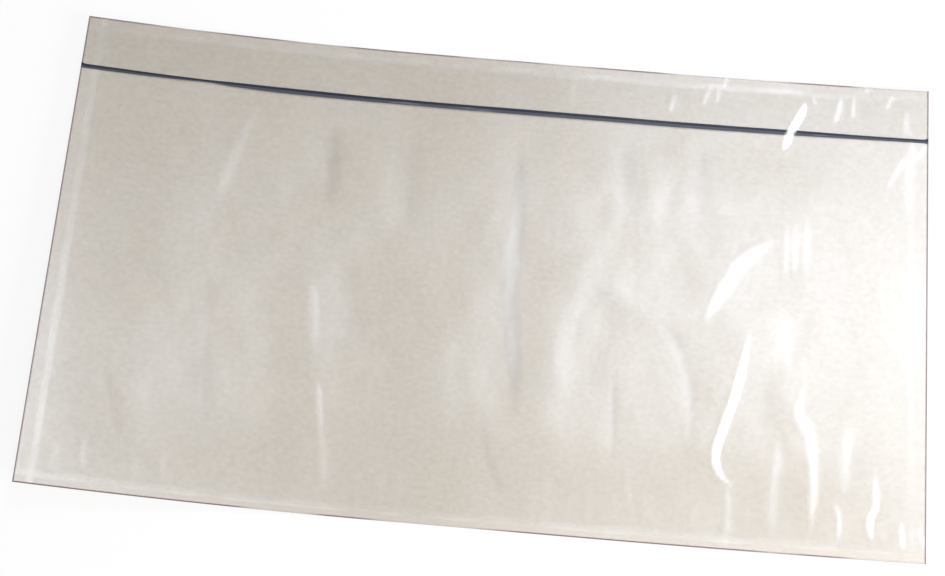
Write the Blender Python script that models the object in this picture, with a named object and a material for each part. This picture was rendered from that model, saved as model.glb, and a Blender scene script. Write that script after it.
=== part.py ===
"""Clear packing list envelope on its release liner, lying on its back with both ends curled up.

Metres, +Z up. +X runs along the long side and +Y points to the opening. The sheet is laid out
flat in two lengths, `along` (left to right from its middle) and `up` (from its middle towards
the opening), and is then bent into its curl.
"""

import bmesh
import bpy

# Outline of the whole sheet, flat
SHEET_WIDTH = 0.254
SHEET_HEIGHT = 0.143

# The opening: a slit across the front film, with a printed line on each of its two edges
SLIT_DROP = 0.0165
SLIT_GAP = 0.0001
HEADER_LINE_WIDTH = 0.0008
LIP_LINE_WIDTH = 0.0009

# Layers, from the floor up, and the clearance between one and the next
LINER_THICKNESS = 0.0001
ADHESIVE_THICKNESS = 0.00003
BACK_FILM_THICKNESS = 0.00006
FRONT_FILM_THICKNESS = 0.00006
INK_THICKNESS = 0.00003
LAYER_GAP = 0.00005

# Heat-sealed borders of the pocket
SIDE_SEAL_WIDTH = 0.006
BOTTOM_SEAL_WIDTH = 0.004

# Curl: the sheet lies flat from FLAT_LEFT left of its middle to FLAT_RIGHT right of it. Each end
# rises more than this at its bottom corner and less at its top corner, by the share of its flare
FLAT_LEFT = 0.020
FLAT_RIGHT = 0.030
LEFT_END_RISE = 0.0105
RIGHT_END_RISE = 0.0040
LEFT_FLARE = 0.28
RIGHT_FLARE = 0.40

# Looseness of the pocket's front film, over the film behind it
PUFF_HEIGHT = 0.0007
PUFF_SLOPE_WIDTH = 0.014
LIP_LIFT = 0.00025
LIP_SLOPE_WIDTH = 0.012

# Broad folds in the loose film: start and end (along, up), crest height and half width
FOLDS = (
    ((-0.052, -0.010), (-0.048, -0.058), 0.0004, 0.010),
    ((0.005, 0.046), (0.008, -0.030), -0.0003, 0.012),
    ((0.018, -0.036), (0.024, 0.002), 0.0003, 0.011),
    ((0.028, 0.006), (0.052, -0.006), 0.0002, 0.010),
    ((0.062, -0.004), (0.076, 0.018), 0.0004, 0.009),
    ((0.074, -0.006), (0.066, -0.048), 0.0004, 0.009),
    ((0.090, -0.024), (0.093, -0.060), 0.0003, 0.009),
)

# Mesh fineness: cells along the curled ends and the flat middle, and cells up each layer
LEFT_CELLS = 18
FLAT_CELLS = 10
RIGHT_CELLS = 18
BACKING_ROWS = 7
POCKET_ROWS = 21

SHEET_LEFT = -SHEET_WIDTH / 2
SHEET_RIGHT = SHEET_WIDTH / 2
SHEET_BOTTOM = -SHEET_HEIGHT / 2
SHEET_TOP = SHEET_HEIGHT / 2
SLIT = SHEET_TOP - SLIT_DROP
LIP_EDGE = SLIT - SLIT_GAP / 2
HEADER_EDGE = SLIT + SLIT_GAP / 2

ADHESIVE_BASE = LINER_THICKNESS + LAYER_GAP
BACK_FILM_BASE = ADHESIVE_BASE + ADHESIVE_THICKNESS + LAYER_GAP
FRONT_FILM_BASE = BACK_FILM_BASE + BACK_FILM_THICKNESS + LAYER_GAP
INK_BASE = FRONT_FILM_BASE + FRONT_FILM_THICKNESS + LAYER_GAP


def curl(along, up):
    """Sideways place and height of a point of the curled sheet, whose length stays true."""
    if along < -FLAT_LEFT:
        run = -SHEET_LEFT - FLAT_LEFT
        part = (-FLAT_LEFT - along) / run
        rise = LEFT_END_RISE * (1 - LEFT_FLARE * up / SHEET_TOP)
        return along + 2 / 3 * rise**2 / run * part**3, rise * part**2
    if along > FLAT_RIGHT:
        run = SHEET_RIGHT - FLAT_RIGHT
        part = (along - FLAT_RIGHT) / run
        rise = RIGHT_END_RISE * (1 - RIGHT_FLARE * up / SHEET_TOP)
        return along - 2 / 3 * rise**2 / run * part**3, rise * part**2
    return along, 0.0


def smooth_step(value):
    """0 below 0, 1 above 1 and a smooth rise between them."""
    t = min(max(value, 0.0), 1.0)
    return t * t * (3 - 2 * t)


def fold_height(fold, along, up):
    """Height that one broad fold adds: a ridge or valley along a line, fading out round it."""
    (start_along, start_up), (end_along, end_up), height, half_width = fold
    run_along = end_along - start_along
    run_up = end_up - start_up
    length_squared = run_along**2 + run_up**2
    share = ((along - start_along) * run_along + (up - start_up) * run_up) / length_squared
    share = min(max(share, 0.0), 1.0)
    off_along = along - start_along - share * run_along
    off_up = up - start_up - share * run_up
    distance = (off_along**2 + off_up**2) ** 0.5
    return height * smooth_step(1 - distance / half_width)


def pocket_lift(along, up):
    """Height of the loose front film over its sealed borders."""
    inside_left = along - SHEET_LEFT - SIDE_SEAL_WIDTH
    inside_right = SHEET_RIGHT - SIDE_SEAL_WIDTH - along
    inside_bottom = up - SHEET_BOTTOM - BOTTOM_SEAL_WIDTH
    below_lip = LIP_EDGE - up
    free = smooth_step(min(inside_left, inside_right) / PUFF_SLOPE_WIDTH)
    free *= smooth_step(inside_bottom / PUFF_SLOPE_WIDTH)
    away_from_lip = smooth_step(below_lip / LIP_SLOPE_WIDTH)
    folds = sum(fold_height(fold, along, up) for fold in FOLDS)
    return free * (LIP_LIFT + away_from_lip * (PUFF_HEIGHT - LIP_LIFT + folds))


def no_lift(along, up):
    """A layer that is stuck down all over."""
    return 0.0


def spread(start, end, cells):
    """Places of the grid lines from start up to, and without, end."""
    return [start + (end - start) * i / cells for i in range(cells)]


def columns(flat_cells):
    """Grid lines along the sheet. Every layer has the same ones where it is curled."""
    seal_right = SHEET_RIGHT - SIDE_SEAL_WIDTH
    lines = [SHEET_LEFT]
    lines += spread(SHEET_LEFT + SIDE_SEAL_WIDTH, -FLAT_LEFT, LEFT_CELLS)
    lines += spread(-FLAT_LEFT, FLAT_RIGHT, flat_cells)
    lines += spread(FLAT_RIGHT, seal_right, RIGHT_CELLS)
    return lines + [seal_right, SHEET_RIGHT]


def pocket_rows():
    """Grid lines up the pocket film: its bottom seal, its loose part and its printed lip."""
    seal_top = SHEET_BOTTOM + BOTTOM_SEAL_WIDTH
    line_bottom = LIP_EDGE - LIP_LINE_WIDTH
    return [SHEET_BOTTOM] + spread(seal_top, line_bottom, POCKET_ROWS) + [line_bottom, LIP_EDGE]


def make_material(name, color, roughness, alpha=1.0):
    material = bpy.data.materials.new(name)
    material.use_nodes = True
    shader = material.node_tree.nodes["Principled BSDF"]
    shader.inputs["Base Color"].default_value = (*color, 1.0)
    shader.inputs["Roughness"].default_value = roughness
    shader.inputs["Metallic"].default_value = 0.0
    shader.inputs["Alpha"].default_value = alpha
    return material


def make_layer(name, lines_along, lines_up, base, thickness, material, parent, lift=no_lift):
    """One layer: a grid that is bent into the curl at its own height and then thickened."""
    bm = bmesh.new()
    cells_along = len(lines_along) - 1
    cells_up = len(lines_up) - 1
    bmesh.ops.create_grid(bm, x_segments=cells_along, y_segments=cells_up, size=0.5)
    middle = (curl(SHEET_LEFT, SHEET_TOP)[0] + curl(SHEET_RIGHT, SHEET_TOP)[0]) / 2
    for vert in bm.verts:
        along = lines_along[round((vert.co.x + 0.5) * cells_along)]
        up = lines_up[round((vert.co.y + 0.5) * cells_up)]
        reach, rise = curl(along, up)
        vert.co = (reach - middle, up, base + rise + lift(along, up))
    raised = bmesh.ops.extrude_face_region(bm, geom=bm.faces[:], use_keep_orig=True)
    raised_verts = [part for part in raised["geom"] if isinstance(part, bmesh.types.BMVert)]
    bmesh.ops.translate(bm, verts=raised_verts, vec=(0, 0, thickness))
    bmesh.ops.recalc_face_normals(bm, faces=bm.faces[:])
    mesh = bpy.data.meshes.new(name)
    bm.to_mesh(mesh)
    bm.free()
    mesh.materials.append(material)
    layer = bpy.data.objects.new(name, mesh)
    layer.parent = parent
    bpy.context.collection.objects.link(layer)
    return layer


def make_backing(parent):
    """The liner that peels away, the adhesive on the back film, and the back film itself."""
    full_height = spread(SHEET_BOTTOM, SHEET_TOP, BACKING_ROWS) + [SHEET_TOP]
    lines = columns(1)
    liner_paper = make_material("liner_paper", (0.58, 0.53, 0.46), 0.6)
    adhesive = make_material("adhesive", (0.80, 0.77, 0.68), 0.35, 0.5)
    back_clear = make_material("back_clear", (0.86, 0.87, 0.86), 0.2, 0.3)
    make_layer("release_liner", lines, full_height, 0.0, LINER_THICKNESS, liner_paper, parent)
    make_layer(
        "adhesive_coat", lines, full_height, ADHESIVE_BASE, ADHESIVE_THICKNESS, adhesive, parent
    )
    make_layer(
        "back_film", lines, full_height, BACK_FILM_BASE, BACK_FILM_THICKNESS, back_clear, parent
    )


def make_front(parent):
    """The header strip over the slit, the pocket's front film, and the line on each edge."""
    front_clear = make_material("front_clear", (0.90, 0.91, 0.90), 0.1, 0.3)
    dark_ink = make_material("dark_ink", (0.038, 0.038, 0.053), 0.35)
    lip_ink = make_material("lip_ink", (0.10, 0.10, 0.12), 0.35)
    header_rows = [HEADER_EDGE, SHEET_TOP]
    header_line_rows = [HEADER_EDGE, HEADER_EDGE + HEADER_LINE_WIDTH]
    lip_line_rows = [LIP_EDGE - LIP_LINE_WIDTH, LIP_EDGE]
    make_layer(
        "header_film", columns(1), header_rows, FRONT_FILM_BASE, FRONT_FILM_THICKNESS,
        front_clear, parent,
    )
    make_layer(
        "header_line", columns(1), header_line_rows, INK_BASE, INK_THICKNESS, dark_ink, parent
    )
    make_layer(
        "pocket_film", columns(FLAT_CELLS), pocket_rows(), FRONT_FILM_BASE, FRONT_FILM_THICKNESS,
        front_clear, parent, pocket_lift,
    )
    make_layer(
        "lip_line", columns(FLAT_CELLS), lip_line_rows, INK_BASE, INK_THICKNESS,
        lip_ink, parent, pocket_lift,
    )


def main():
    for old in list(bpy.data.objects):
        bpy.data.objects.remove(old)
    envelope = bpy.data.objects.new("envelope", None)
    bpy.context.collection.objects.link(envelope)
    make_backing(envelope)
    make_front(envelope)


main()
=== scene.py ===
"""Packing list envelope: a clear document pouch on its release liner, dressed over its solids.

Metres, +Z up. The sheet is laid out flat in two lengths, `along` (left to right from its middle)
and `up` (from its middle towards the opening), and is then bent into its curl.
"""

import bpy
import numpy as np
from bpy.props import FloatProperty, FloatVectorProperty, IntProperty, PointerProperty
from mathutils import Matrix, Vector


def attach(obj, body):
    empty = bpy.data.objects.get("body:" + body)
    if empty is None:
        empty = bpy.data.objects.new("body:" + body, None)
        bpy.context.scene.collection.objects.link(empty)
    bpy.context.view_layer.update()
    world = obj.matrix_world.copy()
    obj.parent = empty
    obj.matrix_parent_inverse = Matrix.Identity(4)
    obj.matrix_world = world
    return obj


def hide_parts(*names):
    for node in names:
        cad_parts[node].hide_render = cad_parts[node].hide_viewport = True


bl_info = {
    "name": "Packing List Envelope",
    "version": (1, 0, 0),
    "blender": (4, 5, 0),
    "location": "3D View > Sidebar > Envelope",
    "description": "Models a clear packing list envelope with its liner, films and printed slit",
    "category": "Object",
}

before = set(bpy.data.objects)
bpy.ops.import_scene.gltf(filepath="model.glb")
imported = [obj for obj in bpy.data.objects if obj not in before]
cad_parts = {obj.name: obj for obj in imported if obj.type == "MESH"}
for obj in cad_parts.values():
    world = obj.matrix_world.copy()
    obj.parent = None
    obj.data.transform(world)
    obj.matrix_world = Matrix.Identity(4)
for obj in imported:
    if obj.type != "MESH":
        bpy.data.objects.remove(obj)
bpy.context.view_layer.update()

MM = 0.001

# Curl: flat from FLAT_LEFT left of the middle to FLAT_RIGHT right of it, then rising at both ends,
# more at the bottom corners and less at the top ones, by the share of the flare
FLAT_LEFT = 0.020
FLAT_RIGHT = 0.030
LEFT_END_RISE = 0.0105
RIGHT_END_RISE = 0.0040
LEFT_FLARE = 0.28
RIGHT_FLARE = 0.40

# Undersides of the layers where the sheet lies flat on the floor
BACK_FILM_BASE = 0.00023
FRONT_FILM_BASE = 0.00034
INK_BASE = 0.00045

# Looseness of the pocket film over the film behind it
PUFF_HEIGHT = 0.0007
PUFF_SLOPE_WIDTH = 0.026
LIP_LIFT = 0.00025
LIP_SLOPE_WIDTH = 0.026

# The printed line: where it is pinched, and where it thins out towards its left and right ends
PINCH_PLACE = -0.0850
PINCH_REACH = 0.010
LEFT_PART_START = -0.081
LEFT_PART_RUN = 0.010
RIGHT_END_START = 0.078
RIGHT_END_RUN = 0.045
BLOT_REACH = 0.0007

# Mesh cells along and up the backing layers, and up the layers whose cells along are a setting
BACKING_CELLS = (127, 40)
HEADER_ROWS = 24
POCKET_ROWS = 126
LINE_ROWS = 3

# Camera: place, turns about its axes in radians and focal length on a 36 mm wide sensor
CAMERA_PLACE = (0.002343, -0.148239, 0.493521)
CAMERA_TURNS = (("X", 0.2895), ("Y", 0.0143), ("Z", 0.0832))
CAMERA_LENS = 67.15
SENSOR_WIDTH = 36.0

# Broad folds: start and end (along, up), crest height and half width, all in millimetres
BROAD_FOLDS = (
    ((-52.0, -10.0), (-48.0, -58.0), 0.18, 12.0),
    ((5.0, 46.0), (8.0, -30.0), -0.2, 14.0),
    ((18.0, -36.0), (24.0, 2.0), 0.16, 12.0),
    ((28.0, 6.0), (52.0, -6.0), 0.2, 10.0),
    ((62.0, -4.0), (76.0, 18.0), 0.14, 12.0),
    ((74.0, -6.0), (66.0, -48.0), 0.18, 12.0),
    ((90.0, -24.0), (93.0, -60.0), 0.2, 11.0),
)

# The gloss of one sharp crease that runs across the printed line from film to film
CROSSING_CREASE = (
    ((90.9, 67.9), (89.3, 61.9), (85.9, 54.5), (84.3, 49.3), (83.7, 46.0)), 0.08, 1.2, 0.90,
)

# Creases of the pocket film: path in millimetres, height, width, and the painted glint that it puts
# on the film, which turns to painted shade where that is less than 0
POCKET_CREASES = (
    CROSSING_CREASE,
    (((-71.9, 53.0), (-76.4, 40.0), (-79.2, 31.0), (-82.6, 14.0)), 0.04, 1.7, 0.17),
    (((-52.2, 0.0), (-51.0, -7.0), (-49.7, -14.9), (-48.7, -27.0)), 0.03, 1.5, 0.20),
    (((-47.0, -31.0), (-46.0, -38.4), (-44.8, -45.0), (-43.8, -52.0)), 0.03, 1.1, 0.26),
    (((-44.8, -46.0), (-43.2, -55.0), (-42.0, -66.0)), 0.08, 1.6, 0.16),
    (((-49.7, 50.6), (-49.4, 34.8), (-48.9, 14.2)), -0.05, 3.4, -0.34),
    (((-56.8, 46.2), (-56.7, 26.0)), 0.05, 3.0, 0.06),
    (((-25.3, 51.0), (-25.3, 33.6), (-26.4, 12.9)), -0.05, 2.8, -0.20),
    (((-33.6, 42.2), (-32.3, 8.0)), 0.05, 4.0, 0.06),
    (((-43.7, 12.9), (-39.5, -8.2), (-35.3, -27.9)), -0.05, 4.0, -0.14),
    (((-108.5, -32.2), (-103.5, -45.2), (-98.4, -60.7)), -0.04, 1.8, -0.20),
    (((-83.1, 1.8), (-79.6, -21.6), (-76.5, -56.7)), -0.03, 2.2, -0.18),
    (((6.1, 51.5), (6.4, 30.0), (6.3, 8.2), (6.9, -7.1), (10.4, -33.7),
      (10.6, -45.5)), -0.01, 2.4, -0.80),
    (((1.0, 48.0), (1.2, 20.0), (0.6, -8.0)), 0.03, 4.5, 0.03),
    (((-0.8, -35.6), (4.4, -52.3), (10.8, -66.1)), -0.04, 1.8, -0.24),
    (((-11.7, -12.8), (-8.0, -43.1)), 0.05, 3.4, 0.07),
    (((29.2, 6.0), (24.7, -3.1), (22.6, -11.8), (22.0, -23.8), (24.0, -40.0)), 0.05, 3.0, 0.06),
    (((25.8, -20.0), (26.2, -9.0), (28.8, -3.4), (34.4, 0.2), (41.1, 0.1),
      (48.7, -4.7)), -0.06, 2.0, -0.26),
    (((44.7, -2.7), (54.6, -12.1), (58.5, -21.3), (60.7, -34.8), (60.2, -45.0)), -0.05, 1.8, -0.30),
    (((37.5, -23.0), (38.2, -38.0), (38.7, -53.2)), -0.06, 1.4, -0.20),
    (((37.2, 52.1), (37.6, 40.0), (38.8, 20.7)), -0.05, 3.4, -0.34),
    (((47.4, 50.3), (47.3, 17.0)), 0.05, 3.6, 0.08),
    (((59.2, 54.8), (59.8, 40.0), (60.6, 20.2)), -0.05, 3.6, -0.34),
    (((62.6, -9.7), (63.6, -4.7), (66.1, 0.9), (69.1, 6.7), (72.9, 13.1),
      (84.0, 21.6)), 0.12, 1.9, 0.40),
    (((85.6, 28.0), (86.0, 8.1)), 0.02, 0.9, 0.09),
    (((88.2, 28.8), (88.6, 7.7)), 0.02, 0.9, 0.10),
    (((91.8, 29.2), (91.5, 8.7)), 0.02, 1.1, 0.09),
    (((76.5, -3.1), (75.4, -13.5), (72.8, -27.0), (69.8, -37.0), (67.9, -44.9), (69.2, -50.0),
      (73.0, -53.8), (79.9, -57.8)),
     0.15, 1.4, 0.75),
    (((84.6, 2.3), (85.9, -9.7), (88.3, -22.9)), 0.01, 3.4, 0.05),
    (((93.1, -19.6), (91.3, -27.1), (90.6, -31.9), (93.2, -35.8), (94.8, -41.5), (95.7, -54.3),
      (94.5, -70.5)),
     0.12, 1.5, 0.40),
    (((105.4, -31.8), (104.8, -45.0), (104.3, -57.3)), 0.06, 1.7, 0.16),
    (((100.2, -55.4), (102.7, -58.7), (103.1, -63.7), (103.0, -69.3)), 0.08, 0.7, 0.34),
    (((112.5, -45.4), (113.2, -55.9), (111.6, -60.9), (112.6, -69.2)), 0.14, 1.05, 0.66),
    (((120.1, -59.1), (120.4, -63.9), (121.0, -68.9)), 0.07, 0.6, 0.45),
    (((124.7, -60.8), (125.8, -63.8), (126.7, -68.2)), 0.05, 0.6, 0.40),
    (((71.8, -51.7), (72.3, -71.2)), 0.08, 1.3, 0.20),
    (((85.2, -37.2), (84.3, -56.6), (84.4, -71.1)), 0.10, 1.9, 0.24),
    (((120.9, 51.2), (118.2, 45.5), (114.6, 38.0)), 0.05, 0.8, 0.18),
    (((122.3, 56.0), (121.4, 39.6)), 0.04, 0.7, 0.18),
    (((127.2, 54.5), (122.9, 48.0)), 0.04, 0.7, 0.18),
    (((121.0, 55.9), (121.2, 27.2)), 0.03, 1.4, 0.08),
    # Painted shade: a faint dark band along the film just under the printed line
    (((-150.0, 50.8), (-60.0, 50.8), (20.0, 50.6), (110.0, 50.8)), 0.0, 2.9, -0.10),
)

# Puckers rising from the bottom seal: place along, height of the tip over the foot and side lean,
# all in millimetres
PUCKER_FOOT = -68.0
PUCKERS = (
    (-118.0, 9.0, 1.0), (-109.0, 13.0, -1.5), (-96.0, 8.0, 1.0), (-88.0, 12.0, 0.5),
    (-66.0, 10.0, -1.0), (-59.0, 14.0, 1.0), (-34.0, 12.0, 1.5), (-26.0, 18.0, -1.0),
    (-21.0, 10.0, 0.5), (-12.0, 15.0, 1.0), (16.0, 10.0, 1.5), (21.0, 16.0, -1.0),
    (27.0, 9.0, 1.0), (33.0, 13.0, -1.0), (39.0, 8.0, 1.0), (45.0, 20.0, -2.5),
    (50.0, 10.0, -1.0), (57.0, 14.0, 1.5), (62.0, 9.0, 1.0), (76.0, 9.0, 0.5),
    (88.0, 8.0, 0.5), (105.0, 8.0, 0.5), (115.0, 7.0, -0.5), (123.5, 8.0, 0.5),
)

# Creases of the header film, in the same form with their painted glints, and the share of their height that
# is used
HEADER_CREASE_SHARE = 0.6
HEADER_CREASES = (
    CROSSING_CREASE,
    (((101.4, 69.5), (100.2, 63.7), (98.9, 57.9)), 0.10, 0.9, 0.29),
    (((104.9, 69.5), (104.4, 60.0)), 0.08, 0.7, 0.22),
    (((92.4, 68.6), (93.4, 64.0)), 0.06, 0.6, 0.21),
    (((61.7, 69.4), (59.2, 60.7)), 0.06, 0.7, 0.20),
    (((64.2, 68.4), (63.6, 62.4)), 0.05, 0.6, 0.20),
    (((51.4, 66.3), (49.1, 57.5)), 0.05, 0.8, 0.20),
    (((66.9, 73.6), (65.4, 67.6)), 0.05, 0.6, 0.25),
    (((109.6, 74.6), (108.1, 68.2)), 0.05, 0.6, 0.21),
    (((116.4, 70.1), (114.4, 63.7)), 0.05, 0.8, 0.22),
    (((120.4, 66.0), (120.6, 55.5)), 0.05, 1.0, 0.17),
    (((20.0, 68.0), (19.8, 57.0)), 0.04, 1.0, 0.10),
    (((-12.0, 69.0), (-12.6, 57.0)), 0.04, 1.2, 0.10),
    (((-64.0, 68.0), (-64.6, 56.0)), 0.04, 1.2, 0.08),
    (((-107.8, 69.0), (-108.4, 57.5)), 0.04, 0.9, 0.11),
    (((-120.8, 70.5), (-120.2, 55.5)), 0.03, 1.6, 0.11),
)


class EnvelopeSizes(bpy.types.PropertyGroup):
    """Sizes of the envelope's sheets, laid out flat."""

    width: FloatProperty(
        name="Length", description="Length of the whole sheet, laid out flat",
        default=0.254, min=0.1, max=0.6, precision=4, unit="LENGTH",
    )
    height: FloatProperty(
        name="Height", description="Height of the whole sheet, from its bottom to its top edge",
        default=0.143, min=0.05, max=0.4, precision=4, unit="LENGTH",
    )
    slit_drop: FloatProperty(
        name="Slit Drop", description="Distance from the top edge down to the opening",
        default=0.0165, min=0.005, max=0.05, precision=5, unit="LENGTH",
    )
    slit_gap: FloatProperty(
        name="Slit Gap", description="Clearance between the header's edge and the pocket's lip",
        default=0.0001, min=0.0, max=0.001, precision=5, unit="LENGTH",
    )
    header_line: FloatProperty(
        name="Header Line", description="Width of the printed line on the header's edge",
        default=0.0008, min=0.0002, max=0.004, precision=5, unit="LENGTH",
    )
    lip_line: FloatProperty(
        name="Lip Line", description="Width of the printed line on the pocket's lip",
        default=0.0009, min=0.0002, max=0.004, precision=5, unit="LENGTH",
    )
    liner_thickness: FloatProperty(
        name="Liner Thickness", description="Thickness of the paper that peels away",
        default=0.0001, min=0.00005, max=0.0005, precision=5, unit="LENGTH",
    )
    film_thickness: FloatProperty(
        name="Film Thickness", description="Thickness of each of the clear films",
        default=0.00006, min=0.00002, max=0.0003, precision=5, unit="LENGTH",
    )
    ink_thickness: FloatProperty(
        name="Ink Thickness", description="Thickness of the two printed lines",
        default=0.00003, min=0.00001, max=0.0001, precision=5, unit="LENGTH",
    )
    side_seal: FloatProperty(
        name="Side Seal", description="Width of the welded border at the two sides",
        default=0.006, min=0.002, max=0.02, precision=4, unit="LENGTH",
    )
    bottom_seal: FloatProperty(
        name="Bottom Seal", description="Width of the welded border at the bottom",
        default=0.004, min=0.002, max=0.02, precision=4, unit="LENGTH",
    )
    creasing: FloatProperty(
        name="Creasing", description="How strongly the loose film is creased",
        default=1.0, min=0.0, max=2.0, subtype="FACTOR",
    )
    cells: IntProperty(
        name="Mesh Cells", description="Mesh cells along the creased films",
        default=378, min=40, max=500,
    )


class EnvelopeColors(bpy.types.PropertyGroup):
    """Colours of the envelope's paper, films and print."""

    liner: FloatVectorProperty(
        name="Liner", description="Colour of the release liner's paper",
        default=(0.455, 0.403, 0.333), min=0.0, max=1.0, subtype="COLOR",
    )
    haze: FloatVectorProperty(
        name="Film Haze", description="Colour of the haze in the clear films",
        default=(0.64, 0.625, 0.60), min=0.0, max=1.0, subtype="COLOR",
    )
    # Colour of the painted glint on the creases
    crease: FloatVectorProperty(
        name="Crease", description="Colour of the film where a crease whitens it",
        default=(0.93, 0.93, 0.925), min=0.0, max=1.0, subtype="COLOR",
    )
    adhesive: FloatVectorProperty(
        name="Adhesive", description="Colour of the coat behind the back film",
        default=(0.62, 0.58, 0.50), min=0.0, max=1.0, subtype="COLOR",
    )
    header_ink: FloatVectorProperty(
        name="Header Ink", description="Colour of the line on the header's edge",
        default=(0.014, 0.020, 0.036), min=0.0, max=1.0, subtype="COLOR",
    )
    lip_ink: FloatVectorProperty(
        name="Lip Ink", description="Colour of the thinner print on the pocket's lip",
        default=(0.060, 0.066, 0.090), min=0.0, max=1.0, subtype="COLOR",
    )
    # Colour of the painted shade along the sheet's edges
    edge_shade: FloatVectorProperty(
        name="Painted Edge Shade", description="Colour of the dark rim along the cut edges",
        default=(0.085, 0.018, 0.030), min=0.0, max=1.0, subtype="COLOR",
    )
    floor: FloatVectorProperty(
        name="Floor", description="Colour of the floor under the envelope",
        default=(0.93, 0.93, 0.93), min=0.0, max=1.0, subtype="COLOR",
    )


def smooth_step(value):
    """0 below 0, 1 above 1 and a smooth rise between them."""
    part = np.clip(value, 0.0, 1.0)
    return part * part * (3 - 2 * part)


def bend(along, up, height, sizes):
    """Places of points of the flat sheet once its two ends are curled up, at their own heights."""
    left_run = sizes.width / 2 - FLAT_LEFT
    right_run = sizes.width / 2 - FLAT_RIGHT
    left_part = np.clip((-FLAT_LEFT - along) / left_run, 0.0, None)
    right_part = np.clip((along - FLAT_RIGHT) / right_run, 0.0, None)
    share_up = up / (sizes.height / 2)
    left_rise = LEFT_END_RISE * (1 - LEFT_FLARE * share_up)
    right_rise = RIGHT_END_RISE * (1 - RIGHT_FLARE * share_up)
    reach = along + 2 / 3 * left_rise**2 / left_run * left_part**3
    reach = reach - 2 / 3 * right_rise**2 / right_run * right_part**3
    left_top = LEFT_END_RISE * (1 - LEFT_FLARE)
    right_top = RIGHT_END_RISE * (1 - RIGHT_FLARE)
    middle = (left_top**2 / left_run - right_top**2 / right_run) / 3
    rise = left_rise * left_part**2 + right_rise * right_part**2
    return np.stack([reach - middle, up, height + rise], axis=-1)


def slit_height(sizes):
    """Height of the slit over the middle of the flat sheet."""
    return sizes.height / 2 - sizes.slit_drop


def smooth_path(points):
    """Points every millimetre or so along a smooth curve through the given ones, in metres."""
    points = np.array(points, float) * MM
    padded = np.vstack([2 * points[0] - points[1], points, 2 * points[-1] - points[-2]])
    dense = []
    for p0, p1, p2, p3 in zip(padded, padded[1:], padded[2:], padded[3:]):
        steps = max(2, int(np.linalg.norm(p2 - p1) / MM))
        for t in np.linspace(0.0, 1.0, steps, endpoint=False):
            dense.append(
                0.5 * (2 * p1 + (p2 - p0) * t + (2 * p0 - 5 * p1 + 4 * p2 - p3) * t**2
                       + (3 * p1 - p0 - 3 * p2 + p3) * t**3)
            )
    dense.append(points[-1])
    return np.array(dense)


def crease_profile(path, width, along, up):
    """Cross section of one crease at each point: 1 on its path, fading to its sides and ends."""
    places = smooth_path(path)
    reach = 3 * width * MM
    low = places.min(axis=0) - reach
    high = places.max(axis=0) + reach
    near = (along > low[0]) & (along < high[0]) & (up > low[1]) & (up < high[1])
    profile = np.zeros_like(along)
    if not near.any():
        return profile
    points = np.stack([along[near], up[near]], axis=-1)
    best = np.full(len(points), np.inf)
    share = np.zeros(len(points))
    last = len(places) - 1
    for i, (start, end) in enumerate(zip(places, places[1:])):
        run = end - start
        part = np.clip((points - start) @ run / (run @ run), 0.0, 1.0)
        away = np.linalg.norm(points - start - part[:, None] * run, axis=1)
        closer = away < best
        best = np.where(closer, away, best)
        share = np.where(closer, (i + part) / last, share)
    taper = smooth_step(share / 0.32) * smooth_step((1 - share) / 0.32)
    local_width = width * MM * (0.45 + 0.55 * taper)
    profile[near] = np.exp(-((best / local_width) ** 2)) * taper
    return profile


def crease_glint_shade(profile, painted_glint_shade):
    """Painted glint that a crease puts on the film, painted shade where the value is below 0: soft where it
    is faint, with crisp sides where strong.
    """
    crispness = np.clip((painted_glint_shade - 0.3) / 0.5, 0.0, 1.0)
    crisp = smooth_step((profile - 0.2) / 0.5)
    return painted_glint_shade * (profile + crispness * (crisp - profile))


def crease_relief(creases, along, up):
    """Height that creases add to a film, and the painted glint and shade they put on it."""
    lift = np.zeros_like(along)
    white = np.zeros_like(along)
    for path, height, width, painted_glint_shade in creases:
        profile = crease_profile(path, width, along, up)
        lift += height * MM * profile
        white += crease_glint_shade(profile, painted_glint_shade)
    return lift, white


def fold_height(fold, along, up):
    """Height that one broad fold adds: a ridge or valley along a line, fading out round it."""
    (start_along, start_up), (end_along, end_up), height, half_width = fold
    start = np.array([start_along, start_up]) * MM
    run = np.array([end_along, end_up]) * MM - start
    points = np.stack([along, up], axis=-1)
    part = np.clip((points - start) @ run / (run @ run), 0.0, 1.0)
    away = np.linalg.norm(points - start - part[..., None] * run, axis=-1)
    return height * MM * smooth_step(1 - away / (half_width * MM))


def slow_waves(along, up):
    """Gentle unevenness of a loose film: crossed waves of several lengths, about -1 to 1."""
    waves = (
        (0.031, 0.35, 0.4, 0.40), (0.022, -0.20, 2.1, 0.30), (0.015, 0.60, 4.4, 0.20),
        (0.017, -0.75, 1.3, 0.18), (0.011, 0.15, 5.2, 0.12), (0.009, -0.40, 3.0, 0.08),
    )
    total = np.zeros_like(along)
    for length, slant, start, strength in waves:
        total += strength * np.sin(2 * np.pi * (along + slant * up) / length + start)
    return total


def pucker_creases():
    """The puckers of the bottom seal, in the form of creases."""
    creases = []
    for place, tip, lean in PUCKERS:
        middle = (place + lean / 2, PUCKER_FOOT + tip / 2)
        path = ((place, PUCKER_FOOT), middle, (place + lean, PUCKER_FOOT + tip))
        # Each pucker gets a faint painted glint
        creases.append((path, 0.045, 1.1, 0.055))
    return tuple(creases)


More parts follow.
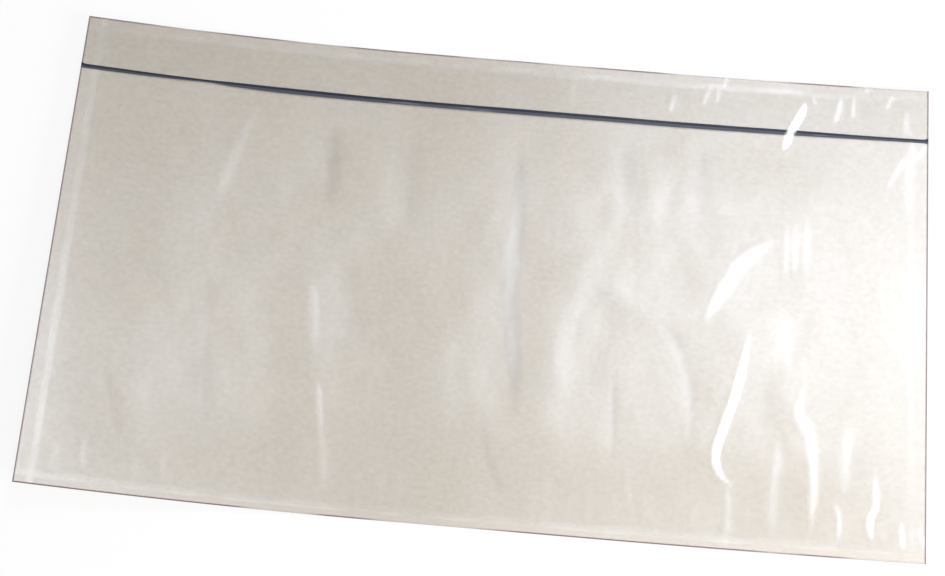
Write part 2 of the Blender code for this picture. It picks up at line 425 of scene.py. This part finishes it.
def pocket_shape(along, up, sizes):
    """Height of the pocket film over its welded borders, and its painted glint and shade."""
    lip = slit_height(sizes) - sizes.slit_gap / 2
    inside_side = sizes.width / 2 - sizes.side_seal - np.abs(along)
    inside_bottom = up + sizes.height / 2 - sizes.bottom_seal
    free = smooth_step(inside_side / PUFF_SLOPE_WIDTH)
    free = free * smooth_step(inside_bottom / PUFF_SLOPE_WIDTH)
    off_lip = smooth_step((lip - up) / LIP_SLOPE_WIDTH)
    folds = sum(fold_height(fold, along, up) for fold in BROAD_FOLDS)
    waves = 0.06 * MM * slow_waves(along, up)
    lift = free * (LIP_LIFT + off_lip * (PUFF_HEIGHT - LIP_LIFT + folds + waves))
    loose = smooth_step(inside_side / 0.004) * smooth_step(inside_bottom / 0.002)
    loose = loose * (0.25 + 0.75 * smooth_step((lip - up) / 0.006))
    crinkle, white = crease_relief(POCKET_CREASES + pucker_creases(), along, up)
    lift = lift + sizes.creasing * loose * crinkle
    return np.clip(lift, 0.0, None), white * sizes.creasing


def header_shape(along, up, sizes):
    """Height of the header film over its weld, and its painted glint and shade."""
    lift, white = crease_relief(HEADER_CREASES, along, up)
    return HEADER_CREASE_SHARE * lift * sizes.creasing, white * sizes.creasing


def flat_shape(along, up, sizes):
    """A layer that is stuck down all over."""
    return np.zeros_like(along), np.zeros_like(along)


def make_sheet(name, low_up, high_up, base, thickness, cells, sizes, shape=flat_shape, edges=None):
    """One thin layer: a grid laid out flat, bent into the curl with its creases and thickened.

    edges(along, sizes) gives the two long edges of a layer whose width varies. Its low_up and
    high_up aren't used.
    """
    bpy.ops.object.select_all(action="DESELECT")
    cells_along, cells_up = cells
    bpy.ops.mesh.primitive_grid_add(
        x_subdivisions=cells_along, y_subdivisions=cells_up, size=1.0, location=(0, 0, 0)
    )
    sheet = bpy.context.active_object
    sheet.name = name
    sheet.data.name = name
    count = len(sheet.data.vertices)
    places = np.empty(count * 3, np.float32)
    sheet.data.vertices.foreach_get("co", places)
    places = places.reshape(count, 3).astype(float)
    along = places[:, 0] * sizes.width
    part_up = places[:, 1] + 0.5
    if edges:
        low, high = edges(along, sizes)
        up = low + part_up * (high - low)
    else:
        up = low_up + part_up * (high_up - low_up)
    lift, white = shape(along, up, sizes)
    bent = bend(along, up, base + lift, sizes)
    sheet.data.vertices.foreach_set("co", bent.astype(np.float32).ravel())
    # Painted glints and painted shade of the creases, kept on the mesh for the materials
    painted_glint_shade = sheet.data.attributes.new("painted_glint_shade", "FLOAT", "POINT")
    painted_glint_shade.data.foreach_set("value", white.astype(np.float32))
    flat_place = np.stack([along, up, np.zeros_like(up)], axis=-1)
    layout = sheet.data.attributes.new("flat_place", "FLOAT_VECTOR", "POINT")
    layout.data.foreach_set("vector", flat_place.astype(np.float32).ravel())
    sheet.data.update()
    solid = sheet.modifiers.new("Thickness", "SOLIDIFY")
    solid.thickness = thickness
    solid.offset = 1.0
    bpy.ops.object.modifier_apply(modifier=solid.name)
    bpy.ops.object.shade_smooth_by_angle(angle=np.radians(40))
    sheet.select_set(False)
    return sheet


def finish_piece(piece, materials, node):
    """Gives a new piece its materials and its body, and hides the solid that it stands for.

    A second material goes on the faces that look down.
    """
    piece.data.materials.clear()
    for material in materials:
        piece.data.materials.append(material)
    if len(materials) > 1:
        normals = np.empty(len(piece.data.polygons) * 3, np.float32)
        piece.data.polygons.foreach_get("normal", normals)
        slots = (normals.reshape(-1, 3)[:, 2] < -0.5).astype(np.int32)
        piece.data.polygons.foreach_set("material_index", slots)
        piece.data.update()
    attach(piece, "root")
    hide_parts(node)


def clear_for_light(sheet, casts_shadow):
    """Lets bounced light pass a clear sheet, and direct light too if it casts no shadow."""
    sheet.visible_diffuse = False
    sheet.visible_shadow = casts_shadow


def node_group(name, inputs, outputs):
    """An empty shader node group with named sockets, and its two end nodes."""
    group = bpy.data.node_groups.new(name, "ShaderNodeTree")
    for label, kind, value in inputs:
        socket = group.interface.new_socket(name=label, in_out="INPUT", socket_type=kind)
        if value is not None:
            socket.default_value = value
    for label, kind in outputs:
        group.interface.new_socket(name=label, in_out="OUTPUT", socket_type=kind)
    start = group.nodes.new("NodeGroupInput")
    end = group.nodes.new("NodeGroupOutput")
    return group, start, end


def math_node(tree, operation, first, second=None, clamp=False):
    """A Math node whose inputs are sockets or numbers. Returns its output."""
    node = tree.nodes.new("ShaderNodeMath")
    node.operation = operation
    node.use_clamp = clamp
    for socket, value in zip(node.inputs, (first, second)):
        if isinstance(value, bpy.types.NodeSocket):
            tree.links.new(value, socket)
        elif value is not None:
            socket.default_value = value
    return node.outputs[0]


def map_range(tree, value, low, high, out_low=0.0, out_high=1.0, smooth=True):
    """A Map Range node, smooth by default. Returns its output."""
    node = tree.nodes.new("ShaderNodeMapRange")
    node.interpolation_type = "SMOOTHSTEP" if smooth else "LINEAR"
    for label, number in (
        ("Value", value), ("From Min", low), ("From Max", high), ("To Min", out_low), ("To Max", out_high)
    ):
        if isinstance(number, bpy.types.NodeSocket):
            tree.links.new(number, node.inputs[label])
        else:
            node.inputs[label].default_value = number
    return node.outputs["Result"]


def noise(tree, vector, scale, detail=2.0, stretch=(1, 1, 1), roughness=0.5):
    """A noise texture on a stretched vector. Returns its value."""
    mapping = tree.nodes.new("ShaderNodeMapping")
    mapping.inputs["Scale"].default_value = stretch
    tree.links.new(vector, mapping.inputs["Vector"])
    node = tree.nodes.new("ShaderNodeTexNoise")
    node.inputs["Scale"].default_value = scale
    node.inputs["Detail"].default_value = detail
    node.inputs["Roughness"].default_value = roughness
    tree.links.new(mapping.outputs["Vector"], node.inputs["Vector"])
    return node.outputs["Fac"]


def mix_color(tree, factor, first, second, blend="MIX"):
    """A Mix node for colours. Returns its output."""
    node = tree.nodes.new("ShaderNodeMix")
    node.data_type = "RGBA"
    node.blend_type = blend
    for socket, value in ((node.inputs[0], factor), (node.inputs[6], first), (node.inputs[7], second)):
        if isinstance(value, bpy.types.NodeSocket):
            tree.links.new(value, socket)
        elif socket.type == "RGBA":
            socket.default_value = (*value[:3], 1.0)
        else:
            socket.default_value = value
    return node.outputs[2]


def outline_group(half_length, half_height):
    """Group: how far inside the sheet's sides, bottom and top a point lies, in millimetres."""
    group, start, end = node_group(
        "Outline Distance",
        [("Vector", "NodeSocketVector", None)],
        [("Side", "NodeSocketFloat"), ("Bottom", "NodeSocketFloat"), ("Top", "NodeSocketFloat")],
    )
    split = group.nodes.new("ShaderNodeSeparateXYZ")
    group.links.new(start.outputs["Vector"], split.inputs[0])
    x, y = split.outputs[0], split.outputs[1]
    across = math_node(group, "ABSOLUTE", x)
    side = math_node(group, "SUBTRACT", half_length, across)
    side = math_node(group, "MULTIPLY", side, 1 / MM)
    bottom = math_node(group, "ADD", y, half_height)
    bottom = math_node(group, "MULTIPLY", bottom, 1 / MM)
    top = math_node(group, "SUBTRACT", half_height, y)
    top = math_node(group, "MULTIPLY", top, 1 / MM)
    for label, socket in (("Side", side), ("Bottom", bottom), ("Top", top)):
        group.links.new(socket, end.inputs[label])
    return group


def edge_shade_group(outline):
    """Group: painted shade as a dark rim along the sheet's edges, whole at its sides and patchy elsewhere."""
    group, start, end = node_group(
        "Painted Edge Shade",
        [("Vector", "NodeSocketVector", None), ("Width", "NodeSocketFloat", 0.4)],
        [("Mask", "NodeSocketFloat")],
    )
    place = group.nodes.new("ShaderNodeGroup")
    place.node_tree = outline
    group.links.new(start.outputs["Vector"], place.inputs["Vector"])
    width = start.outputs["Width"]
    inner = math_node(group, "MULTIPLY", width, 0.5)
    side = map_range(group, place.outputs["Side"], inner, width, 1.0, 0.0)
    ends = math_node(group, "MINIMUM", place.outputs["Bottom"], place.outputs["Top"])
    long_edge = map_range(group, ends, inner, width, 1.0, 0.0)
    # Breaks the painted edge shade into patches along the top and bottom
    wear_and_break_up = noise(group, start.outputs["Vector"], 34.0, 0.0)
    wear_and_break_up = map_range(group, wear_and_break_up, 0.36, 0.54, 0.25, 1.0)
    mask = math_node(group, "MAXIMUM", side, math_node(group, "MULTIPLY", long_edge, wear_and_break_up))
    group.links.new(mask, end.inputs["Mask"])
    return group


def seal_group(outline):
    """Group: pressed stripes of the heat seals, and the tanned border outside them.

    The stripes fade towards the sheet's right end.
    """
    group, start, end = node_group(
        "Heat Seal",
        [("Vector", "NodeSocketVector", None)],
        [("Stripe", "NodeSocketFloat"), ("Border", "NodeSocketFloat")],
    )
    place = group.nodes.new("ShaderNodeGroup")
    place.node_tree = outline
    group.links.new(start.outputs["Vector"], place.inputs["Vector"])
    waver = noise(group, start.outputs["Vector"], 90.0, 0.0)
    wobble = map_range(group, waver, 0.3, 0.7, -0.28, 0.28, smooth=False)
    stripes = []
    for label, near, far, strength in (
        ("Side", 3.7, 5.3, 0.9), ("Bottom", 2.3, 3.6, 0.6), ("Top", 2.8, 4.1, 1.0)
    ):
        inset = math_node(group, "ADD", place.outputs[label], wobble)
        rise = map_range(group, inset, near - 0.8, near + 0.5, 0.0, strength)
        fall = map_range(group, inset, far - 0.5, far + 1.0, 1.0, 0.0)
        stripes.append(math_node(group, "MULTIPLY", rise, fall))
    stripe = math_node(group, "MAXIMUM", math_node(group, "MAXIMUM", stripes[0], stripes[1]), stripes[2])
    break_up = map_range(group, waver, 0.35, 0.6, 0.7, 1.0)
    split = group.nodes.new("ShaderNodeSeparateXYZ")
    group.links.new(start.outputs["Vector"], split.inputs[0])
    faded = map_range(group, split.outputs[0], 0.08, 0.12, 1.0, 0.3)
    stripe = math_node(group, "MULTIPLY", stripe, math_node(group, "MULTIPLY", break_up, faded))
    side = map_range(group, place.outputs["Side"], 3.2, 4.6, 0.3, 0.0)
    bottom = map_range(group, place.outputs["Bottom"], 2.0, 2.9, 1.0, 0.0)
    top = map_range(group, place.outputs["Top"], 2.2, 3.4, 0.6, 0.0)
    border = math_node(group, "MAXIMUM", math_node(group, "MAXIMUM", side, bottom), top)
    group.links.new(stripe, end.inputs["Stripe"])
    group.links.new(border, end.inputs["Border"])
    return group


def film_grain_group():
    """Group: cast film's fine unevenness, as a height for a bump and a mask of cloudy patches."""
    group, start, end = node_group(
        "Film Grain",
        [("Vector", "NodeSocketVector", None)],
        [("Height", "NodeSocketFloat"), ("Cloud", "NodeSocketFloat")],
    )
    vector = start.outputs["Vector"]
    height = noise(group, vector, 260.0, 0.0, (1.3, 0.7, 1.0), 0.45)
    cloud = noise(group, vector, 42.0, 0.0, (1.3, 0.7, 1.0))
    group.links.new(height, end.inputs["Height"])
    group.links.new(cloud, end.inputs["Cloud"])
    return group


def new_material(name, roughness, ior=1.45, specular=0.5):
    """A material with its Principled shader and its Object coordinates."""
    material = bpy.data.materials.new(name)
    material.use_nodes = True
    tree = material.node_tree
    shader = tree.nodes["Principled BSDF"]
    shader.inputs["Roughness"].default_value = roughness
    shader.inputs["IOR"].default_value = ior
    shader.inputs["Specular IOR Level"].default_value = specular
    coordinates = tree.nodes.new("ShaderNodeTexCoord")
    return material, tree, shader, coordinates.outputs["Object"]


def place_group(tree, group, vector, **values):
    """An instance of a node group, fed with the vector and its own values."""
    node = tree.nodes.new("ShaderNodeGroup")
    node.node_tree = group
    tree.links.new(vector, node.inputs["Vector"])
    for label, value in values.items():
        node.inputs[label].default_value = value
    return node


def shared_groups(sizes):
    """The node groups that the materials share, built once."""
    if "Outline Distance" in bpy.data.node_groups:
        names = ("Painted Edge Shade", "Heat Seal", "Film Grain")
        return tuple(bpy.data.node_groups[name] for name in names)
    outline = outline_group(sizes.width / 2, sizes.height / 2)
    return edge_shade_group(outline), seal_group(outline), film_grain_group()


def flat_place(tree):
    """Each point's place on the sheet when it is laid out flat, from the mesh's own attribute."""
    node = tree.nodes.new("ShaderNodeAttribute")
    node.attribute_name = "flat_place"
    return node.outputs["Vector"]


def add_bump(tree, shader, height, strength, distance):
    """Feeds the shader's normal from a height."""
    bump = tree.nodes.new("ShaderNodeBump")
    bump.inputs["Strength"].default_value = strength
    bump.inputs["Distance"].default_value = distance
    tree.links.new(height, bump.inputs["Height"])
    tree.links.new(bump.outputs["Normal"], shader.inputs["Normal"])


def liner_material(sizes, colors):
    """Siliconised kraft paper: mottled greige with a satin sheen and fine fibres."""
    edge_shade = shared_groups(sizes)[0]
    material, tree, shader, vector = new_material("Release Liner Paper", 0.42, 1.5, 0.5)
    mottle = noise(tree, vector, 760.0, 1.0, (0.8, 1.0, 1.0), 0.6)
    mottle = map_range(tree, mottle, 0.3, 0.7, 0.94, 1.057, smooth=False)
    patches = noise(tree, vector, 170.0, 1.0, (0.8, 1.0, 1.0))
    patches = map_range(tree, patches, 0.3, 0.7, 0.986, 1.014, smooth=False)
    tone = math_node(tree, "MULTIPLY", mottle, patches)
    warmth = noise(tree, vector, 60.0, 0.0)
    warmth = map_range(tree, warmth, 0.35, 0.7, 0.0, 0.3)
    warm = (colors.liner[0] * 1.03, colors.liner[1] * 0.985, colors.liner[2] * 0.97)
    paper = mix_color(tree, warmth, colors.liner, warm)
    gray = tree.nodes.new("ShaderNodeCombineColor")
    for channel in range(3):
        tree.links.new(tone, gray.inputs[channel])
    paper = mix_color(tree, 1.0, paper, gray.outputs[0], "MULTIPLY")
    # Painted shade along the sheet's edges
    rim = place_group(tree, edge_shade, flat_place(tree), Width=0.50)
    paper = mix_color(tree, rim.outputs["Mask"], paper, colors.edge_shade)
    tree.links.new(paper, shader.inputs["Base Color"])
    fiber = noise(tree, vector, 900.0, 0.0, (0.6, 1.0, 1.0), 0.6)
    rough = map_range(tree, fiber, 0.3, 0.7, 0.38, 0.5, smooth=False)
    tree.links.new(rough, shader.inputs["Roughness"])
    add_bump(tree, shader, fiber, 0.20, 0.00003)
    return material


def adhesive_material(colors):
    """Tacky clear coat: a faintly yellowish, cloudy layer that shows the liner behind it."""
    material, tree, shader, vector = new_material("Adhesive Coat", 0.5)
    cloud = noise(tree, vector, 60.0, 0.0)
    tone = map_range(tree, cloud, 0.3, 0.7)
    pale = tuple(min(1.0, 1.06 * channel) for channel in colors.adhesive)
    tree.links.new(mix_color(tree, tone, colors.adhesive, pale), shader.inputs["Base Color"])
    link_alpha(tree, shader, map_range(tree, cloud, 0.3, 0.7, 0.02, 0.05))
    return material


def link_alpha(tree, shader, alpha):
    """Feeds the shader's alpha, and leaves the inner side of each face clear."""
    geometry = tree.nodes.new("ShaderNodeNewGeometry")
    front = math_node(tree, "SUBTRACT", 1.0, geometry.outputs["Backfacing"])
    tree.links.new(math_node(tree, "MULTIPLY", alpha, front), shader.inputs["Alpha"])


def back_film_material(colors):
    """Clear film that is stuck down flat: a broad, soft gloss over the liner."""
    material, tree, shader, vector = new_material("Back Film", 0.42, 2.3, 1.0)
    cloud = noise(tree, vector, 50.0, 0.0, (1.3, 0.7, 1.0))
    tone = map_range(tree, cloud, 0.3, 0.7)
    dim = tuple(0.94 * channel for channel in colors.haze)
    tree.links.new(mix_color(tree, tone, colors.haze, dim), shader.inputs["Base Color"])
    rough = map_range(tree, cloud, 0.3, 0.7, 0.38, 0.46, smooth=False)
    tree.links.new(rough, shader.inputs["Roughness"])
    link_alpha(tree, shader, map_range(tree, cloud, 0.3, 0.7, 0.07, 0.09))
    return material


def underside_material(colors):
    """The side of a film that faces the sheet behind it, all but clear."""
    material, tree, shader, vector = new_material("Film Underside", 0.4)
    cloud = noise(tree, vector, 60.0, 0.0)
    dim = tuple(0.94 * channel for channel in colors.haze)
    tree.links.new(mix_color(tree, cloud, colors.haze, dim), shader.inputs["Base Color"])
    link_alpha(tree, shader, map_range(tree, cloud, 0.3, 0.7, 0.015, 0.025, smooth=False))
    return material


def film_material(name, sizes, colors, paleness, haze_low, haze_high, roughness, bump):
    """Clear polyethylene film: glossy, slightly hazy, whitened at its seals, with painted glints and shade at
    its creases and painted shade at its edges.

    paleness scales the colour of the haze.
    """
    edge_shade, seal, grain = shared_groups(sizes)
    material, tree, shader, vector = new_material(name, roughness, 2.3, 1.0)
    layout = flat_place(tree)
    texture = place_group(tree, grain, vector)
    seals = place_group(tree, seal, layout)
    # Painted shade along the sheet's edges
    rim = place_group(tree, edge_shade, layout, Width=0.44)
    # The creases' painted glints above 0 and painted shade below 0
    crease = tree.nodes.new("ShaderNodeAttribute")
    crease.attribute_name = "painted_glint_shade"
    stripe = math_node(tree, "MULTIPLY", seals.outputs["Stripe"], 0.19)
    white = math_node(tree, "ADD", math_node(tree, "MAXIMUM", crease.outputs["Fac"], 0.0), stripe, clamp=True)
    dark = math_node(tree, "MULTIPLY", crease.outputs["Fac"], -1.0, clamp=True)
    border = seals.outputs["Border"]
    veil = tuple(channel * paleness for channel in colors.haze)
    tan = tuple(channel * factor for channel, factor in zip(colors.haze, (0.80, 0.70, 0.60)))
    # shade is the dark tone of the painted shade in crease valleys
    shade = tuple(channel * 0.35 for channel in colors.liner)
    color = mix_color(tree, border, veil, tan)
    color = mix_color(tree, math_node(tree, "MULTIPLY", white, 2.0, clamp=True), color, colors.crease)
    color = mix_color(tree, math_node(tree, "MULTIPLY", dark, 3.0, clamp=True), color, shade)
    # Painted shade along the edges
    color = mix_color(tree, rim.outputs["Mask"], color, colors.edge_shade)
    tree.links.new(color, shader.inputs["Base Color"])
    haze = map_range(tree, texture.outputs["Cloud"], 0.3, 0.7, haze_low, haze_high)
    # The painted glints, the painted shade, the seal border and the painted edge shade make the film less
    # clear
    for socket, share in ((white, 0.78), (dark, 0.30), (border, 0.24), (rim.outputs["Mask"], 0.84)):
        haze = math_node(tree, "ADD", haze, math_node(tree, "MULTIPLY", socket, share))
    haze = math_node(tree, "MINIMUM", haze, 0.94)
    edge_on = tree.nodes.new("ShaderNodeFresnel")
    edge_on.inputs["IOR"].default_value = 1.5
    sheen = map_range(tree, edge_on.outputs[0], 0.04, 0.5, 0.0, 0.6, smooth=False)
    link_alpha(tree, shader, math_node(tree, "ADD", haze, sheen, clamp=True))
    matt = map_range(tree, texture.outputs["Cloud"], 0.3, 0.7, roughness * 0.9, roughness * 1.1, smooth=False)
    for socket, share in ((border, 0.12), (rim.outputs["Mask"], 0.55)):
        matt = math_node(tree, "ADD", matt, math_node(tree, "MULTIPLY", socket, share))
    tree.links.new(matt, shader.inputs["Roughness"])
    add_bump(tree, shader, texture.outputs["Height"], bump, 0.00006)
    return material


def ink_material(name, colors, color, wear_and_break_up):
    """Printed ink on film: dark and satin, scuffed along its streaks, with a painted glint where a crease's
    glint crosses it.
    """
    material, tree, shader, vector = new_material(name, 0.42, 1.45, 0.3)
    streaks = noise(tree, vector, 260.0, 3.0, (0.25, 1.5, 1.0), 0.65)
    thin = map_range(tree, streaks, 0.50, 0.78, 0.0, wear_and_break_up)
    pale = tuple(channel * 3.2 + 0.05 for channel in color)
    # Painted highlight: the ink turns to the glint colour where a crease glint crosses it
    crease = tree.nodes.new("ShaderNodeAttribute")
    crease.attribute_name = "painted_glint_shade"
    white = math_node(tree, "MAXIMUM", crease.outputs["Fac"], 0.0, clamp=True)
    inked = mix_color(tree, thin, color, pale)
    tree.links.new(mix_color(tree, white, inked, colors.crease), shader.inputs["Base Color"])
    rough = map_range(tree, streaks, 0.3, 0.7, 0.34, 0.50, smooth=False)
    tree.links.new(rough, shader.inputs["Roughness"])
    add_bump(tree, shader, streaks, 0.15, 0.00003)
    return material


def line_width_share(along, pinch_depth, left_depth, right_depth):
    """Width of a printed line along its run: pinched near its left third, thinner at its ends."""
    pinch = np.exp(-(((along - PINCH_PLACE) / PINCH_REACH) ** 2))
    left_part = smooth_step((LEFT_PART_START - along) / LEFT_PART_RUN)
    right_end = smooth_step((along - RIGHT_END_START) / RIGHT_END_RUN)
    return 1 - pinch_depth * pinch - left_depth * left_part - right_depth * right_end


def end_blot(along, sizes):
    """1 at the right end of a printed line, fading within a millimetre of it."""
    return np.exp(-(((along - sizes.width / 2) / BLOT_REACH) ** 2))


def header_line_edges(along, sizes):
    """Lower and upper edge of the line on the header, with a blot at either end."""
    low = np.full_like(along, slit_height(sizes) + sizes.slit_gap / 2)
    waver = 0.03 * MM * np.sin(along / 0.0131) + 0.02 * MM * np.sin(along / 0.0047 + 1.0)
    width = sizes.header_line * line_width_share(along, 0.10, 0.22, 0.40)
    return low, low + width + waver + 0.45 * MM * end_blot(np.abs(along), sizes)


def lip_line_edges(along, sizes):
    """Lower and upper edge of the line on the pocket's lip, with a blot at its right end."""
    high = np.full_like(along, slit_height(sizes) - sizes.slit_gap / 2)
    waver = 0.04 * MM * np.sin(along / 0.0093 + 2.0)
    width = sizes.lip_line * line_width_share(along, 0.30, 0.42, 0.45)
    return high - width - waver - 0.35 * MM * end_blot(along, sizes), high


class ENVELOPE_OT_add_liner(bpy.types.Operator):
    """Model the release liner and finish the adhesive coat over it"""

    bl_idname = "envelope.add_liner"
    bl_label = "Add Release Liner"

    def execute(self, context):
        sizes = context.scene.envelope_sizes
        colors = context.scene.envelope_colors
        liner = make_sheet(
            "liner_sheet", -sizes.height / 2, sizes.height / 2, 0.0, sizes.liner_thickness,
            BACKING_CELLS, sizes,
        )
        finish_piece(liner, (liner_material(sizes, colors),), "release_liner")
        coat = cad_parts["adhesive_coat"]
        coat.data.materials.clear()
        coat.data.materials.append(adhesive_material(colors))
        clear_for_light(coat, False)
        return {"FINISHED"}


class ENVELOPE_OT_add_back_film(bpy.types.Operator):
    """Model the clear film that makes the pocket's rear wall"""

    bl_idname = "envelope.add_back_film"
    bl_label = "Add Back Film"

    def execute(self, context):
        sizes = context.scene.envelope_sizes
        colors = context.scene.envelope_colors
        film = make_sheet(
            "back_film_sheet", -sizes.height / 2, sizes.height / 2, BACK_FILM_BASE,
            sizes.film_thickness, BACKING_CELLS, sizes,
        )
        materials = (back_film_material(colors), underside_material(colors))
        finish_piece(film, materials, "back_film")
        clear_for_light(film, False)
        return {"FINISHED"}


class ENVELOPE_OT_add_header_film(bpy.types.Operator):
    """Model the welded strip of clear film above the opening"""

    bl_idname = "envelope.add_header_film"
    bl_label = "Add Header Film"

    def execute(self, context):
        sizes = context.scene.envelope_sizes
        colors = context.scene.envelope_colors
        edge = slit_height(sizes) + sizes.slit_gap / 2
        film = make_sheet(
            "header_film_sheet", edge, sizes.height / 2, FRONT_FILM_BASE, sizes.film_thickness,
            (sizes.cells, HEADER_ROWS), sizes, header_shape,
        )
        header = film_material("Header Film", sizes, colors, 0.5, 0.11, 0.15, 0.30, 0.6)
        finish_piece(film, (header, underside_material(colors)), "header_film")
        clear_for_light(film, True)
        return {"FINISHED"}


class ENVELOPE_OT_add_pocket_film(bpy.types.Operator):
    """Model the loose, creased front of the pocket"""

    bl_idname = "envelope.add_pocket_film"
    bl_label = "Add Pocket Film"

    def execute(self, context):
        sizes = context.scene.envelope_sizes
        colors = context.scene.envelope_colors
        lip = slit_height(sizes) - sizes.slit_gap / 2
        film = make_sheet(
            "pocket_film_sheet", -sizes.height / 2, lip, FRONT_FILM_BASE, sizes.film_thickness,
            (sizes.cells, POCKET_ROWS), sizes, pocket_shape,
        )
        front = film_material("Pocket Film", sizes, colors, 1.0, 0.11, 0.15, 0.30, 0.4)
        finish_piece(film, (front, underside_material(colors)), "pocket_film")
        clear_for_light(film, True)
        return {"FINISHED"}


class ENVELOPE_OT_add_printed_lines(bpy.types.Operator):
    """Model the two printed lines on the edges of the opening"""

    bl_idname = "envelope.add_printed_lines"
    bl_label = "Add Printed Lines"

    def execute(self, context):
        sizes = context.scene.envelope_sizes
        colors = context.scene.envelope_colors
        upper = make_sheet(
            "header_line_print", 0.0, 0.0, INK_BASE, sizes.ink_thickness,
            (sizes.cells, LINE_ROWS), sizes, header_shape, header_line_edges,
        )
        header_ink = ink_material("Header Ink", colors, colors.header_ink, 0.10)
        finish_piece(upper, (header_ink,), "header_line")
        lower = make_sheet(
            "lip_line_print", 0.0, 0.0, INK_BASE, sizes.ink_thickness,
            (sizes.cells, LINE_ROWS), sizes, pocket_shape, lip_line_edges,
        )
        lip_ink = ink_material("Lip Ink", colors, colors.lip_ink, 0.5)
        finish_piece(lower, (lip_ink,), "lip_line")
        return {"FINISHED"}


def floor_material(colors):
    """Pale matt floor that the camera sees as white, with the envelope's shadow on it."""
    material, tree, shader = new_material("Pale Floor", 0.9, 1.3, 0.1)[:3]
    shader.inputs["Base Color"].default_value = (*colors.floor, 1.0)
    glow = tree.nodes.new("ShaderNodeEmission")
    glow.inputs["Color"].default_value = (1.0, 1.0, 1.0, 1.0)
    glow.inputs["Strength"].default_value = 1.0
    rays = tree.nodes.new("ShaderNodeLightPath")
    seen = math_node(tree, "MAXIMUM", rays.outputs["Is Camera Ray"], rays.outputs["Is Glossy Ray"])
    mix = tree.nodes.new("ShaderNodeMixShader")
    tree.links.new(math_node(tree, "MULTIPLY", seen, 0.88), mix.inputs[0])
    tree.links.new(shader.outputs["BSDF"], mix.inputs[1])
    tree.links.new(glow.outputs[0], mix.inputs[2])
    tree.links.new(mix.outputs[0], tree.nodes["Material Output"].inputs["Surface"])
    return material


def add_panel_light(name, place, aim, width, height, radiance, tint=(0.925, 1.0, 1.14)):
    """A soft oval light of that radiance, faintly cool as daylight is, turned towards a point."""
    bpy.ops.object.light_add(type="AREA", location=place)
    light = bpy.context.active_object
    light.name = name
    light.data.shape = "ELLIPSE"
    light.data.color = tint
    light.data.size = width
    light.data.size_y = height
    light.data.energy = radiance * width * height * np.pi * np.pi / 4
    turn = (Vector(aim) - Vector(place)).to_track_quat("-Z", "Y")
    light.matrix_world = Matrix.Translation(place) @ turn.to_matrix().to_4x4()


class ENVELOPE_OT_add_stage(bpy.types.Operator):
    """Add the floor, the lights and the camera"""

    bl_idname = "envelope.add_stage"
    bl_label = "Add Stage"

    def execute(self, context):
        colors = context.scene.envelope_colors
        bpy.ops.object.select_all(action="DESELECT")
        bpy.ops.mesh.primitive_plane_add(size=6.0, location=(0, 0, -0.0002))
        floor = context.active_object
        floor.name = "floor"
        floor.data.materials.append(floor_material(colors))
        floor.select_set(False)

        world = bpy.data.worlds.new("Soft Room")
        world.use_nodes = True
        background = world.node_tree.nodes["Background"]
        background.inputs["Color"].default_value = (1.0, 0.972, 0.92, 1.0)
        background.inputs["Strength"].default_value = 0.39
        context.scene.world = world

        add_panel_light("window_panel", (0.226, 0.338, 1.000), (0.1, 0.0, 0.0), 0.175, 0.365, 21.3)
        add_panel_light(
            "side_panel", (0.30, -0.20, 0.35), (0.08, 0.0, 0.0), 0.25, 0.25, 13.8, (1.0, 1.0, 0.98)
        )

        data = bpy.data.cameras.new("camera")
        camera = bpy.data.objects.new("camera", data)
        context.collection.objects.link(camera)
        data.sensor_width = SENSOR_WIDTH
        data.sensor_fit = "HORIZONTAL"
        data.lens = CAMERA_LENS
        turn = Matrix.Identity(3)
        for axis, angle in CAMERA_TURNS:
            turn = turn @ Matrix.Rotation(angle, 3, axis)
        camera.matrix_world = Matrix.Translation(CAMERA_PLACE) @ turn.to_4x4()
        context.scene.camera = camera
        context.scene.view_settings.view_transform = "Standard"
        # A ray crosses six clear faces before it meets the liner
        context.scene.cycles.transparent_max_bounces = 20
        context.scene.cycles.max_bounces = 4
        context.scene.cycles.diffuse_bounces = 2
        return {"FINISHED"}


class ENVELOPE_PT_panel(bpy.types.Panel):
    """Lists the envelope's pieces, sizes and colours"""

    bl_idname = "ENVELOPE_PT_panel"
    bl_label = "Packing List Envelope"
    bl_space_type = "VIEW_3D"
    bl_region_type = "UI"
    bl_category = "Envelope"

    def draw(self, context):
        layout = self.layout
        for operator in PIECE_OPERATORS:
            layout.operator(operator.bl_idname)
        for label, group, values in (
            ("Sizes", EnvelopeSizes, context.scene.envelope_sizes),
            ("Colours", EnvelopeColors, context.scene.envelope_colors),
        ):
            box = layout.box()
            box.label(text=label)
            for name in group.__annotations__:
                box.prop(values, name)


PIECE_OPERATORS = (
    ENVELOPE_OT_add_liner,
    ENVELOPE_OT_add_back_film,
    ENVELOPE_OT_add_header_film,
    ENVELOPE_OT_add_pocket_film,
    ENVELOPE_OT_add_printed_lines,
    ENVELOPE_OT_add_stage,
)
CLASSES = (EnvelopeSizes, EnvelopeColors, *PIECE_OPERATORS, ENVELOPE_PT_panel)


def register():
    for cls in CLASSES:
        bpy.utils.register_class(cls)
    bpy.types.Scene.envelope_sizes = PointerProperty(type=EnvelopeSizes)
    bpy.types.Scene.envelope_colors = PointerProperty(type=EnvelopeColors)


def unregister():
    del bpy.types.Scene.envelope_colors
    del bpy.types.Scene.envelope_sizes
    for cls in reversed(CLASSES):
        bpy.utils.unregister_class(cls)


def main():
    register()
    bpy.ops.envelope.add_liner()
    bpy.ops.envelope.add_back_film()
    bpy.ops.envelope.add_header_film()
    bpy.ops.envelope.add_pocket_film()
    bpy.ops.envelope.add_printed_lines()
    bpy.ops.envelope.add_stage()


if __name__ == "__main__":
    main()
